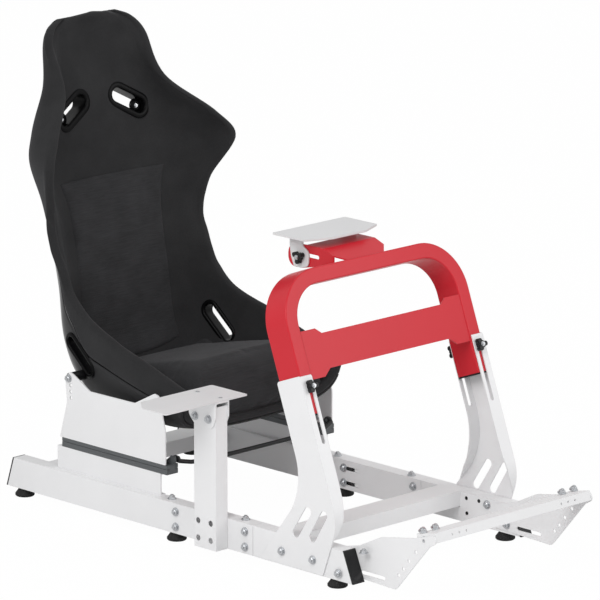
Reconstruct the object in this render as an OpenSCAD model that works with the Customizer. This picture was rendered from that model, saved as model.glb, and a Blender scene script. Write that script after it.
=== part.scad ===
// Sim racing cockpit: a folding-sheet and rectangular-tube frame with a bucket seat on sliders,
// a height-adjustable steering hoop, a gear lever post and a pedal deck.
// Right-handed frame, +Z up. The driver looks along -Y, and -X is the driver's right.
// Machine axes used below: X = 0 on the centre plane, Y = 0 over the middle feet, Z = 0 on the floor.

/* [Frame tubes] */
// Width over the two side beams
frame_w = 566; // [500:2:640]
// Tall side of the tube section
tube_h = 70; // [60:1:80]
// Narrow side of the tube section
tube_w = 35; // [30:1:40]
// Wall of every tube
tube_t = 2; // [1.5:0.5:3]
// Underside of the side beams above the floor
beam_z = 20; // [16:1:30]
// Bottom rear corner of the side beams
rear_end = 553; // [530:1:600]
// How far the rear end leans in at the top
rear_slant = 23; // [0:1:40]
// Bottom front corner of the side beams
front_end = 575; // [560:1:640]
// How far the front end leans in at the top
front_slant = 29; // [0:1:40]
// Joint between the rear and the front tube, forward of the middle feet
seam_y = 264; // [240:1:300]
// Length of the inner sleeve behind the joint
splice_back = 215; // [150:1:230]
// Length of the inner sleeve in front of the joint
splice_front = 110; // [80:1:150]
// Rear edge of the rear crossbar
rear_bar_y = 449; // [440:1:500]
// Front edge of the front crossbar, forward of the middle feet
front_bar_y = 389; // [370:1:400]
// Thickness of the plastic end caps
cap_t = 4; // [2:0.5:6]

/* [Levelling feet] */
// Diameter of a rubber foot
foot_d = 45; // [36:1:50]
// Distance of the outer feet from the middle feet
foot_pitch = 513; // [480:1:530]

/* [Sheet metal] */
// Thickness of the folded and cut sheet
sheet_t = 3; // [2:0.5:4]
// Running gap between sliding sheets and tubes
slide_gap = 0.5; // [0.4:0.1:1]

/* [Slider rails] */
// Rear end of the rails
rail_rear = 384; // [370:1:400]
// Length of each rail
rail_len = 351; // [320:1:380]
// Width of each rail
rail_w = 34; // [30:1:40]
// Height of the lower rail
rail_low_h = 12; // [10:1:16]
// Height of the upper rail
rail_up_h = 10; // [8:1:14]
// Underside of the rails above the floor
rail_z = 142; // [136:1:150]
// Outer side of the rails from the centre plane
rail_out = 264; // [258:1:268]
// Diameter of the lock bar
lock_bar_d = 10; // [8:1:12]

/* [Seat] */
// Thickness of the seat's hard shell
shell_t = 5; // [4:0.5:8]
// Thickness of the shell and its lining pad together
lining_t = 30; // [24:1:36]
// Thickness of the raised centre panel of the back
panel_t = 9; // [6:1:14]
// Top of the base cushion above the floor, at its front
cushion_z = 388; // [370:1:400]
// Diameter of the spacers between the side brackets and the shell
spacer_d = 24; // [18:1:30]

/* [Steering uprights] */
// Backward lean of the uprights and the hoop in degrees
lean_deg = 20.5; // [20:0.5:21]
// Lowest edge of the uprights above the floor
upright_foot_z = 22; // [20:1:30]
// Width of the slots for the hoop clamps
clamp_slot_w = 10.5; // [9:0.5:12]

/* [Hoop] */
// Outer corner radius of the bent tube
hoop_r = 119; // [100:1:130]
// Length of a leg below the reference line
hoop_leg = 124; // [120:1:140]
// Height of the hoop above the reference line
hoop_rise = 188; // [170:1:200]
// Thickness of the cross plate
cross_t = 4; // [3:0.5:6]

/* [Wheel mount] */
// Half width over the folded bracket on the hoop
bracket_half = 80; // [70:1:90]
// Half width of the wheel plate
wheel_half = 114; // [105:1:130]
// Top of the wheel plate above the floor
wheel_z = 708; // [704:1:714]
// Swivel axis of the wheel plate behind the middle feet
swivel_y = -212; // [-214:1:-210]
// Swivel axis of the wheel plate above the floor
swivel_z = 659; // [657:1:661]

/* [Gear lever post] */
// Front edge of the post, forward of the middle feet
post_front = 184; // [170:1:190]
// Top of the lever plate above the floor
lever_z = 364; // [340:1:390]
// Outer edge of the lever plate from the centre plane
lever_out = 472; // [440:1:480]

/* [Pedal deck] */
// Front tip of the pedal plates, forward of the middle feet
pedal_tip = 795; // [780:1:810]
// Depth of the pedal bar
pedal_bar_d = 56; // [48:1:60]
// Height of the pedal bar's folds
pedal_bar_h = 22; // [18:1:26]

/* [Hidden] */

half_w = frame_w / 2;
inner_half = half_w - tube_w;
beam_mid = half_w - tube_w / 2;
beam_top = beam_z + tube_h;
upright_out = half_w + slide_gap + sheet_t;
snug = 0.2;
soft_gap = 0.3;

// Corner arcs: each point is [y, z, radius], and a radius of 0 keeps a sharp corner.
function unit(v) = v / norm(v);
function cross2(a, b) = a[0] * b[1] - a[1] * b[0];
function corner_arc(a, b, c, r, n) =
    r <= 0 ? [b] :
    let(
        u = unit(a - b),
        w = unit(c - b),
        half = acos(max(-1, min(1, u * w))) / 2,
        reach = r / tan(half),
        centre = b + unit(u + w) * r / sin(half),
        p = b + u * reach - centre,
        q = b + w * reach - centre,
        sweep = atan2(cross2(p, q), p * q)
    )
    [for (i = [0:n]) centre + [
        p[0] * cos(sweep * i / n) - p[1] * sin(sweep * i / n),
        p[0] * sin(sweep * i / n) + p[1] * cos(sweep * i / n)
    ]];
function rounded(pts, n = 6) = [
    for (i = [0:len(pts) - 1])
        let(
            a = pts[(i + len(pts) - 1) % len(pts)],
            b = pts[i],
            c = pts[(i + 1) % len(pts)]
        )
        for (p = corner_arc([a[0], a[1]], [b[0], b[1]], [c[0], c[1]], b[2], n)) p
];
// The same outline moved inwards by d, for counter-clockwise (turn = 1) or clockwise outlines.
function line_shift(a, b, d) = let(u = unit(b - a)) [a + [-u[1], u[0]] * d, u];
function meet(p, u, q, w) = p + u * (cross2(q - p, w) / cross2(u, w));
function inset(pts, d, turn = 1) = [
    for (i = [0:len(pts) - 1])
        let(
            a = [pts[(i + len(pts) - 1) % len(pts)][0], pts[(i + len(pts) - 1) % len(pts)][1]],
            b = [pts[i][0], pts[i][1]],
            c = [pts[(i + 1) % len(pts)][0], pts[(i + 1) % len(pts)][1]],
            l1 = line_shift(a, b, d * turn),
            l2 = line_shift(b, c, d * turn),
            m = meet(l1[0], l1[1], l2[0], l2[1]),
            bulge = cross2(b - a, c - b) * turn > 0 ? -1 : 1
        )
        [m[0], m[1], pts[i][2] <= 0 ? 0 : max(0.5, pts[i][2] + bulge * d)]
];

// Extrudes a (y, z) drawing from x0 to x1.
module along_x(x0, x1) {
    translate([x0, 0, 0]) rotate([90, 0, 90]) linear_extrude(x1 - x0) children();
}
// Extrudes an (x, z) drawing from y0 to y1.
module along_y(y0, y1) {
    translate([0, y1, 0]) rotate([90, 0, 0]) linear_extrude(y1 - y0) children();
}
// A straight slot with round ends, drawn between the centres of its ends.
module slot2d(p, q, w) {
    reach = norm(q - p);
    translate(p) rotate(atan2(q[1] - p[1], q[0] - p[0])) {
        circle(d = w, $fn = 24);
        translate([reach, 0]) circle(d = w, $fn = 24);
        translate([0, -w / 2]) square([reach, w]);
    }
}
// A pin or a bore along X through the point (y, z).
module pin_x(y, z, x0, x1, d) {
    translate([x0, y, z]) rotate([0, 90, 0]) cylinder(h = x1 - x0, d = d, $fn = 32);
}
// The lean frame of the uprights: origin on the front face of the hoop's legs,
// local +Y to the rear, local +Z up along the legs.
lean_y = -400.5;
lean_z = 492.7;
function lean(v, n) = [
    lean_y + v * sin(lean_deg) + n * cos(lean_deg),
    lean_z + v * cos(lean_deg) - n * sin(lean_deg)
];
module leaning() {
    translate([0, lean_y, lean_z]) rotate([-lean_deg, 0, 0]) children();
}
// Everything is drawn in machine axes and then set over the origin of the part.
wing_half = 295;
edge_roll = 1.5;
seat_rear = 598;
shift_x = (lever_out - wing_half - edge_roll) / 2;
shift_y = (pedal_tip - seat_rear) / 2;
module place() {
    translate([shift_x, shift_y, 0]) children();
}

white = "whitesmoke";
rubber = [0.1, 0.1, 0.1];
red = [0.75, 0.12, 0.15];
fabric = [0.22, 0.22, 0.23];

// Side beams
module beam_outline(y0, z_slant0, y1, z_slant1) {
    polygon([
        [y0, beam_z], [y1, beam_z],
        [y1 - z_slant1, beam_top], [y0 + z_slant0, beam_top]
    ]);
}
module tube_bore(y0, y1) {
    translate([inner_half + tube_t, y0, beam_z + tube_t])
        cube([tube_w - 2 * tube_t, y1 - y0, tube_h - 2 * tube_t]);
}
slot_low = beam_z + 16;
slot_high = beam_z + 51;
module rear_beam(side) {
    color(white) place() mirror([side < 0 ? 1 : 0, 0, 0]) difference() {
        along_x(inner_half, half_w) beam_outline(-seam_y, 0, rear_end, rear_slant);
        tube_bore(-seam_y - 1, rear_end + 1);
        // Adjusting slots for the sleeve, open on the inner side of the beam
        for (z = [slot_low, slot_high])
            along_x(inner_half - 1, inner_half + tube_t + 1) slot2d([-66, z], [-14, z], 9);
    }
}
module front_beam(side) {
    color(white) place() mirror([side < 0 ? 1 : 0, 0, 0]) difference() {
        along_x(inner_half, half_w)
            beam_outline(-front_end, front_slant, -seam_y - 1, 0);
        tube_bore(-front_end - 1, -seam_y);
    }
}
module beam_splices() {
    color(white) place() for (side = [-1, 1]) mirror([side < 0 ? 1 : 0, 0, 0]) {
        x0 = inner_half + tube_t + snug;
        z0 = beam_z + tube_t + snug;
        w = tube_w - 2 * tube_t - 2 * snug;
        h = tube_h - 2 * tube_t - 2 * snug;
        difference() {
            translate([x0, -seam_y - splice_front, z0])
                cube([w, splice_front + splice_back, h]);
            translate([x0 + tube_t, -seam_y - splice_front - 1, z0 + tube_t])
                cube([w - 2 * tube_t, splice_front + splice_back + 2, h - 2 * tube_t]);
        }
    }
}
// Plastic caps that close the cut ends of the beams
module beam_end_caps() {
    color(rubber) place() for (side = [-1, 1]) mirror([side < 0 ? 1 : 0, 0, 0]) {
        along_x(inner_half, half_w) polygon([
            [rear_end, beam_z], [rear_end + cap_t, beam_z],
            [rear_end + cap_t - rear_slant, beam_top], [rear_end - rear_slant, beam_top]
        ]);
        along_x(inner_half, half_w) polygon([
            [-front_end, beam_z], [-front_end - cap_t, beam_z],
            [-front_end - cap_t + front_slant, beam_top], [-front_end + front_slant, beam_top]
        ]);
    }
}
module levelling_feet() {
    color(rubber) place()
        for (side = [-1, 1], y = [-foot_pitch, 0, foot_pitch])
            translate([side * beam_mid, y, 0])
                rotate_extrude($fn = 40) polygon([
                    [0, 0], [foot_d / 2 - 2, 0], [foot_d / 2, 2], [foot_d / 2, 6],
                    [foot_d / 2 - 6, beam_z - 6], [foot_d / 2 - 10, beam_z], [0, beam_z]
                ]);
}
module crossbar(y_rear) {
    z0 = beam_top - tube_w;
    difference() {
        translate([-inner_half, y_rear - tube_h, z0]) cube([2 * inner_half, tube_h, tube_w]);
        translate([-inner_half - 1, y_rear - tube_h + tube_t, z0 + tube_t])
            cube([2 * inner_half + 2, tube_h - 2 * tube_t, tube_w - 2 * tube_t]);
    }
}
module rear_crossbar() {
    color(white) place() crossbar(rear_bar_y);
}
module front_crossbar() {
    color(white) place() crossbar(tube_h - front_bar_y);
}

// Seat risers and sliders
riser_front = 54;
riser_rear = 400;
module seat_riser(side) {
    color(white) place() mirror([side < 0 ? 1 : 0, 0, 0])
        along_y(riser_front, riser_rear) {
            translate([rail_out - sheet_t, beam_top]) square([sheet_t, rail_z - beam_top]);
            translate([inner_half + 1, beam_top])
                square([rail_out - inner_half - 1, sheet_t]);
            translate([rail_out - rail_w, rail_z - sheet_t]) square([rail_w, sheet_t]);
        }
}
rail_front = rail_rear - rail_len;
rail_mid_z = rail_z + rail_low_h;
rail_top_z = rail_mid_z + rail_up_h;
lip = 4;
// Lower rails: channels open at the top, with lips that turn in over the upper rails
module lower_rails() {
    color([0.35, 0.36, 0.37]) place() for (side = [-1, 1]) mirror([side < 0 ? 1 : 0, 0, 0])
        along_y(rail_front, rail_rear) difference() {
            translate([rail_out - rail_w, rail_z]) square([rail_w, rail_low_h]);
            translate([rail_out - rail_w + 2, rail_z + 2]) square([rail_w - 4, rail_low_h - 4]);
            translate([rail_out - rail_w + 2 + lip, rail_z + rail_low_h - 3])
                square([rail_w - 4 - 2 * lip, 4]);
        }
}
ear_y = 30;
ear_z = 178;
ear_pin_d = 6;
ear_x = 244;
// Upper rails: runners that stay inside the lower rails, with an ear at the front for the lock bar
module upper_rails() {
    web_w = rail_w - 4 - 2 * lip - 2;
    color([0.3, 0.31, 0.32]) place() for (side = [-1, 1]) mirror([side < 0 ? 1 : 0, 0, 0]) {
        mid = rail_out - rail_w / 2;
        along_y(rail_front, rail_rear) {
            translate([mid - rail_w / 2 + 2 + slide_gap, rail_z + 2 + slide_gap])
                square([rail_w - 4 - 2 * slide_gap, rail_low_h - 4 - 2 * slide_gap]);
            translate([mid - web_w / 2, rail_z + 2 + slide_gap])
                square([web_w, rail_up_h + rail_low_h - 2 - slide_gap]);
            translate([rail_out - rail_w, rail_mid_z + 1]) square([rail_w, rail_up_h - 1]);
        }
        along_x(ear_x, ear_x + sheet_t) polygon([
            [rail_front, rail_top_z - 1], [rail_front + 30, rail_top_z - 1],
            [ear_y + 8, ear_z + 6], [ear_y - 6, ear_z + 6], [ear_y - 8, ear_z - 6]
        ]);
        pin_x(ear_y, ear_z, ear_x - 9, ear_x + 1, ear_pin_d);
    }
}
// Lock bar: a bent rod between flattened ends that turn on the ear pins
bar_drop = 12;
bar_reach = 26;
// A bent round rod through a row of points, mitred at its bends
module bent_rod(pts, d, sides = 16) {
    last = len(pts) - 1;
    along = [for (i = [0:last]) unit(
        (i > 0 ? unit(pts[i] - pts[i - 1]) : [0, 0, 0])
            + (i < last ? unit(pts[i + 1] - pts[i]) : [0, 0, 0]))];
    points = [for (i = [0:last], a = [0:sides - 1])
        let(
            up = unit(cross(along[i], [0, 1, 0])),
            fore = cross(up, along[i]),
            turn = 360 * a / sides
        )
        pts[i] + (up * cos(turn) + fore * sin(turn)) * d / 2];
    skin = [for (i = [0:last - 1], a = [0:sides - 1]) each [
        [i * sides + a, i * sides + (a + 1) % sides, (i + 1) * sides + (a + 1) % sides],
        [i * sides + a, (i + 1) * sides + (a + 1) % sides, (i + 1) * sides + a]
    ]];
    ends = [for (a = [1:sides - 2]) each [
        [0, a + 1, a], [last * sides, last * sides + a, last * sides + a + 1]
    ]];
    polyhedron(points = points, faces = concat(skin, ends));
}
module lock_bar() {
    arm_x = ear_x - 7;
    mid_y = ear_y - bar_reach;
    mid_z = ear_z - bar_drop;
    half = [
        [120, mid_y, mid_z], [185, mid_y + 1, mid_z + 0.5], [212, mid_y + 5, mid_z + 2.5],
        [arm_x + 3, ear_y - 12, ear_z - 4]
    ];
    color([0.12, 0.12, 0.13]) place() {
        bent_rod(concat([for (p = backwards(half)) [-p[0], p[1], p[2]]], half), lock_bar_d);
        for (side = [-1, 1]) mirror([side < 0 ? 1 : 0, 0, 0])
            difference() {
                along_x(arm_x, arm_x + 5) polygon(rounded([
                    [ear_y + 8, ear_z - 8, 7], [ear_y + 8, ear_z + 8, 7],
                    [ear_y - 10, ear_z + 6, 5], [ear_y - 20, ear_z - 8, 4]
                ]));
                pin_x(ear_y, ear_z, arm_x - 1, arm_x + 6, ear_pin_d + 0.6);
            }
    }
}

// Side brackets that carry the seat on the upper rails
// Bolts through the brackets and the spacers: y, z and the inner end of the spacer
spacer_at = [[359, 307.5, 178], [66, 303, 222]];
module seat_bracket(side) {
    outline = [
        [391, rail_top_z, 2], [366, 251, 30], [371, 303, 8], [357, 323, 6], [344, 319, 8],
        [288, 289, 3], [139, 290, 3], [73, 324, 6], [59, 321, 6], [47, 277, 20],
        [38, 241, 20], [38, rail_top_z, 2]
    ];
    color(white) place() mirror([side < 0 ? 1 : 0, 0, 0]) {
        difference() {
            along_x(rail_out - sheet_t, rail_out) polygon(rounded(outline));
            for (p = concat(spacer_at, [[353.5, 291.5], [353.5, 276.5], [352.5, 262]]))
                pin_x(p[0], p[1], rail_out - 5, rail_out + 2, 8.4);
        }
        translate([rail_out - rail_w + 2, 66, rail_top_z])
            cube([rail_w - 2 - sheet_t, 304, sheet_t]);
    }
}

// The seat follows a few ribs from the front lip to the head. Each rib gives the back of the
// shell on the centre plane, the edge of the wing, the half width and how full the side is:
// 0 is a side that leans out, 1 a round one and more a square one.
ribs = [
    [[22, 224],   [-10, 330],  249,       1.5],
    [[120, 204],  [96, 366],   250,       1.2],
    [[265, 204],  [225, 405],  251,       0.5],
    [[388, 228],  [327, 441],  250,       0],
    [[452, 310],  [385, 486],  249,       0],
    [[482, 450],  [418, 546],  248,       0],
    [[512, 590],  [444, 612],  247,       0],
    [[534, 685],  [433, 692],  257,       0.6],
    [[552, 785],  [391, 785],  wing_half, 1],
    [[560, 848],  [418, 846],  258,       1],
    [[577, 935],  [494, 935],  166,       1],
    [[596, 1030], [546, 1030], 155,       1],
    [[594, 1066], [566, 1068], 130,       1],
    [[588, 1084], [579, 1086], 90,        1]
];
last_rib = len(ribs) - 1;
per_rib = 3;
front_places = [0, 0.06, 0.15];
junction = 3.5;
joint_gap = 0.01;
base_places = [each front_places, for (i = [1:10]) i / per_rib];
back_places = [for (i = [11:per_rib * last_rib]) i / per_rib];
seat_places = [each base_places, junction - joint_gap, junction, each back_places];
// A smooth curve through b and c, at the share t of the way
function through(a, b, c, d, t) =
    0.5 * (2 * b + (c - a) * t + (2 * a - 5 * b + 4 * c - d) * t * t
        + (3 * b - a - 3 * c + d) * t * t * t);
function rib_at(s) =
    let(
        i = min(last_rib - 1, floor(s)),
        a = ribs[max(0, i - 1)],
        b = ribs[i],
        c = ribs[i + 1],
        d = ribs[min(last_rib, i + 2)]
    )
    [for (k = [0:3]) through(a[k], b[k], c[k], d[k], s - i)];
// Half of the seat's section as a share of its width and depth, from the centre to the edge
function section(t, full) =
    let(
        a = 3 * t * (1 - t) * (1 - t),
        b = 3 * t * t * (1 - t),
        c = t * t * t
    )
    [a * (0.95 + 0.05 * full) + b * (0.8 + 0.12 * full) + c, b * (0.72 - 0.17 * full) + c];
// A point of the seat: off is how far inside the shell's outer face it lies
function bowl(rib, off, t) =
    let(
        depth = norm(rib[1] - rib[0]),
        dir = (rib[1] - rib[0]) / depth,
        k = section(t, rib[3]),
        p = rib[0] + dir * (off + (depth - off) * k[1])
    )
    [(rib[2] - off) * k[0], p[0], p[1]];
function both_sides(half) = concat(
    [for (i = [len(half) - 1:-1:1]) [-half[i][0], half[i][1], half[i][2]]], half
);
function backwards(list) = [for (i = [len(list) - 1:-1:0]) list[i]];
function ring(outer, inner) = concat(both_sides(outer), backwards(both_sides(inner)));
// Skins a row of rings, and closes both ends between the outer and the inner half of the ring
module loft(rings) {
    m = len(rings[0]);
    k = len(rings);
    h = m / 2;
    // Each square is split from its corner nearer the centre plane in one row to the other
    // corner in the next, so that skins that lie on each other are split alike
    tris = [
        for (j = [0:k - 2], i = [0:m - 1])
            let(
                a = j * m + i,
                b = j * m + (i + 1) % m,
                c = (j + 1) * m + (i + 1) % m,
                d = (j + 1) * m + i
            )
            each abs(rings[j][(i + 1) % m][0]) > abs(rings[j][i][0])
                ? [[a, b, c], [a, c, d]] : [[a, b, d], [b, c, d]]
    ];
    first = [for (i = [0:h - 2]) each [[i, m - 1 - i, i + 1], [i + 1, m - 1 - i, m - 2 - i]]];
    base = (k - 1) * m;
    last = [for (i = [0:h - 2]) each [
        [base + i, base + i + 1, base + m - 1 - i],
        [base + i + 1, base + m - 2 - i, base + m - 1 - i]
    ]];
    polyhedron(points = [for (r = rings) each r], faces = concat(tris, first, last));
}

// Where things sit on the seat: a frame whose +Z looks into the seat
function seat_normal(s, t) =
    let(
        across = bowl(rib_at(s), lining_t, t + 0.02) - bowl(rib_at(s), lining_t, t - 0.02),
        along = bowl(rib_at(s + 0.05), lining_t, t) - bowl(rib_at(s - 0.05), lining_t, t)
    )
    unit(cross(across, along));
module on_seat(s, t) {
    n = seat_normal(s, t);
    translate(bowl(rib_at(s), lining_t, t))
        rotate([0, acos(n[2]), atan2(n[1], n[0])]) children();
}
// Belt holes: rib, place across the section, turn, length between the slot's ends, width of
// the opening and width of the bezel
shoulder_hole = [9.38, 0.17, 61, 66, 32, 62];
lap_hole = [3.26, 0.62, 49, 75, 28, 50];
bezel_wall = 3;
bezel_face = 5;
bezel_sink = 2;
function wall_at(h) =
    (bowl(rib_at(h[0]), lining_t, h[1]) - bowl(rib_at(h[0]), 0, h[1]))
        * seat_normal(h[0], h[1]);
module belt_slot(h, w, z0, z1) {
    translate([0, 0, z0]) linear_extrude(z1 - z0) slot2d([-h[3] / 2, 0], [h[3] / 2, 0], w);
}
module at_belt_holes() {
    for (side = [0, 1]) mirror([side, 0, 0])
        for (h = [shoulder_hole, lap_hole])
            on_seat(h[0], h[1]) rotate([0, 0, h[2]]) {
                $hole = h;
                children();
            }
}
module belt_cuts() {
    at_belt_holes() {
        belt_slot($hole, $hole[4] + 2 * (bezel_wall + soft_gap), -90, 60);
        belt_slot($hole, $hole[5] + 2 * soft_gap, -bezel_sink - soft_gap, 60);
        belt_slot($hole, $hole[5] + 2 * soft_gap, -90, bezel_sink + soft_gap - wall_at($hole));
    }
}
module harness_bezels() {
    color(rubber) place() at_belt_holes() difference() {
        union() {
            belt_slot($hole, $hole[5], -bezel_sink, bezel_face - bezel_sink);
            belt_slot($hole, $hole[4] + 2 * bezel_wall, -wall_at($hole), 0);
            belt_slot($hole, $hole[5], bezel_sink - bezel_face - wall_at($hole),
                bezel_sink - wall_at($hole));
        }
        belt_slot($hole, $hole[4], -90, 60);
    }
}

shell_share = 0.84;
arc_n = 9;
panel_cols = 3;
cushion_cols = 5;
function shell_ring(rib) = ring(
    [for (i = [0:arc_n]) bowl(rib, 0, shell_share * i / arc_n)],
    [for (i = [0:arc_n]) bowl(rib, shell_t, shell_share * i / arc_n)]
);
module seat_shell() {
    color([0.08, 0.08, 0.09]) place() difference() {
        loft([for (s = seat_places) shell_ring(rib_at(s))]);
        belt_cuts();
    }
}
// Spacers between the side brackets and the shell, cut to the lean of the shell's sides
module seat_spacers() {
    skin = [for (i = [0:arc_n]) shell_share * i / arc_n];
    color([0.3, 0.31, 0.32]) place() difference() {
        for (side = [0, 1], p = spacer_at) mirror([side, 0, 0]) difference() {
            pin_x(p[0], p[1], p[2], rail_out - sheet_t, spacer_d);
            pin_x(p[0], p[1], p[2] - 1, rail_out, 8.4);
        }
        loft([for (s = seat_places) if (s <= 4) ring(
            [for (t = skin) bowl(rib_at(s), -soft_gap, t)],
            [for (t = skin) bowl(rib_at(s), 70, t)]
        )]);
        at_belt_holes() belt_slot($hole, $hole[5] + 2 * soft_gap,
            bezel_sink - bezel_face - soft_gap - wall_at($hole), 0);
    }
}
// Lining: a thick pad inside the shell that rolls over the shell's edge
roll_r = (lining_t + edge_roll) / 2;
function lining_ring(rib) =
    let(
        depth = norm(rib[1] - rib[0]),
        dir = (rib[1] - rib[0]) / depth
    )
    ring(
        concat(
            [for (i = [0:arc_n]) bowl(rib, shell_t + soft_gap, shell_share * i / arc_n)],
            [for (t = [shell_share + 0.03, 0.93, 1]) bowl(rib, -edge_roll, t)]
        ),
        concat(
            [for (i = [0:arc_n]) bowl(rib, lining_t, i / arc_n)],
            [for (b = [45, 90, 135]) let(p = rib[0] + dir * (depth + roll_r * sin(b)))
                [rib[2] - lining_t + roll_r * (1 - cos(b)), p[0], p[1]]]
        )
    );
module lining(places) {
    difference() {
        loft([for (s = places) lining_ring(rib_at(s))]);
        belt_cuts();
    }
}
module seat_back_lining() {
    color(fabric) place() lining([junction, each back_places]);
}
module seat_base_lining() {
    color(fabric) place() lining([each base_places, junction - joint_gap]);
}
// Raised centre panel of the back, thin towards its sides
panel_first = 11;
panel_last = 22;
function panel_ring(rib) = ring(
    [for (i = [0:panel_cols]) bowl(rib, lining_t + soft_gap, i / arc_n)],
    [for (i = [0:panel_cols])
        bowl(rib, lining_t + soft_gap + 0.5 + panel_t * (1 - pow(i / panel_cols, 4)), i / arc_n)]
);
module seat_back_panel() {
    color([0.27, 0.27, 0.28]) place()
        loft([for (i = [panel_first:panel_last]) panel_ring(rib_at(i / per_rib))]);
}
// Base cushion between the bolsters: level at the front, then falling to the rear
cushion_level = 71;
cushion_slope = 0.219;
cushion_end = base_places[len(base_places) - 1];
function cushion_ring(s) =
    let(
        rib = rib_at(s),
        n = cushion_cols,
        dir = unit(rib[1] - rib[0]),
        floor_p = rib[0] + dir * (lining_t + soft_gap),
        y = max(0, floor_p[0] - 0.3 * lining_t - cushion_level),
        rise = (cushion_z - cushion_slope * y - floor_p[1]) / dir[1],
        soft = min(1, 0.62 + 1.9 * s, 0.72 + 1.4 * (cushion_end - s)),
        under = [for (i = [0:n]) bowl(rib, lining_t + soft_gap, i / arc_n)],
        over = [for (i = [0:n]) let(
                top = floor_p + dir * rise * soft * (1 - pow(i / n, 8)),
                low = [under[i][1], under[i][2]] + dir * 0.5
            )
            (top - low) * dir > 0 ? [under[i][0], top[0], top[1]]
                : [under[i][0], low[0], low[1]]]
    )
    ring(under, over);
module seat_base_cushion() {
    color([0.27, 0.27, 0.28]) place() difference() {
        loft([for (s = base_places) cushion_ring(s)]);
        belt_cuts();
    }
}

// Steering uprights: channels folded from sheet, open to the inside, with a splayed foot
upright_top = -37;
function upright_outline(top) =
    let(
        n0 = -slide_gap - sheet_t,
        n1 = tube_h + slide_gap + sheet_t
    )
    [
        [lean(top, n0)[0], lean(top, n0)[1], 7],
        [-533, 147, 98],
        [-487.7, upright_foot_z, 5],
        [-289, upright_foot_z, 5],
        [lean(-280, n1)[0], lean(-280, n1)[1], 140],
        [lean(top, n1)[0], lean(top, n1)[1], 7]
    ];
flange_in = half_w - tube_w + 3.5;
module upright(side) {
    bend = half_w + slide_gap;
    color(white) place() mirror([side < 0 ? 1 : 0, 0, 0]) difference() {
        along_x(flange_in, upright_out) polygon(rounded(upright_outline(upright_top), 10));
        // The channel is open at its top and below the top of the beam
        along_x(flange_in - 1, bend)
            polygon(rounded(inset(upright_outline(upright_top + 20), sheet_t), 10));
        along_x(flange_in - 1, bend)
            polygon([[-600, 0], [-200, 0], [-200, beam_top + 1], [-600, beam_top + 1]]);
        // Flanges narrow towards the foot
        along_y(-600, -200) polygon([
            [flange_in - 1, 80], [bend, 80], [bend, 104],
            [262, 147], [flange_in + 1.5, 194], [flange_in - 0.1, 240], [flange_in - 1, 240]
        ]);
        // Clamp slots in both flanges
        in_lean_plane(-20, 100) slot2d([beam_mid, -187], [beam_mid, -58], clamp_slot_w);
        // Windows beside the beam
        along_x(bend - 1, upright_out + 1) {
            slot2d([-404, 102], [-441, 158], 21);
            slot2d([-456, 102], [-491, 159], 21);
        }
    }
}

// Hoop: one bent tube, hollow, that slides in the uprights
module hoop_outline(g) {
    w = half_w - g;
    wi = inner_half + g;
    top = hoop_rise - g;
    topi = hoop_rise - tube_w + g;
    foot = -hoop_leg - (g > 0 ? 1 : 0);
    polygon(rounded([
        [-w, foot, 0], [-w, top, hoop_r - g], [w, top, hoop_r - g], [w, foot, 0],
        [wi, foot, 0], [wi, topi, hoop_r - tube_w + g], [-wi, topi, hoop_r - tube_w + g],
        [-wi, foot, 0]
    ], 12));
}
module in_lean_plane(n0, n1) {
    leaning() along_y(n0, n1) children();
}
module hoop() {
    color(red) place() difference() {
        in_lean_plane(0, tube_h) hoop_outline(0);
        in_lean_plane(tube_t, tube_h - tube_t) hoop_outline(tube_t);
    }
}
module hoop_cross_plate() {
    w = inner_half;
    color(red) place() in_lean_plane(2, 2 + cross_t) polygon([
        [-w, 57], [-204, 57], [-187, 44], [187, 44], [204, 57], [w, 57],
        [w, -51], [208, -51], [187, -35], [-187, -35], [-208, -51], [-w, -51]
    ]);
}
module hoop_leg_caps() {
    color(rubber) place() for (side = [-1, 1]) mirror([side < 0 ? 1 : 0, 0, 0]) {
        leaning() translate([inner_half + 1, 1, -hoop_leg - cap_t])
            cube([tube_w - 2, tube_h - 2, cap_t]);
        leaning() translate([inner_half + tube_t + snug, tube_t + snug, -hoop_leg])
            cube([tube_w - 2 * tube_t - 2 * snug, tube_h - 2 * tube_t - 2 * snug, 12]);
    }
}
// A three-lobed clamping knob with its stud, drawn along +Z from the seat of the knob
module knob(stud, lobe) {
    cylinder(h = 12, d = lobe, $fn = 24);
    for (a = [0, 120, 240]) rotate(a) translate([lobe * 0.55, 0, 2])
        cylinder(h = 11, d = lobe * 0.62, $fn = 20);
    translate([0, 0, -stud]) cylinder(h = stud + 1, d = 7, $fn = 24);
}
module hoop_knobs() {
    color(rubber) place() leaning() for (side = [-1, 1]) {
        translate([side * beam_mid, -slide_gap - sheet_t - soft_gap, -64])
            rotate([90, 0, 0]) knob(sheet_t + soft_gap, 18);
        translate([side * beam_mid, tube_h + slide_gap + sheet_t + soft_gap, -64])
            rotate([-90, 0, 0]) knob(sheet_t + soft_gap, 18);
    }
}

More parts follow.
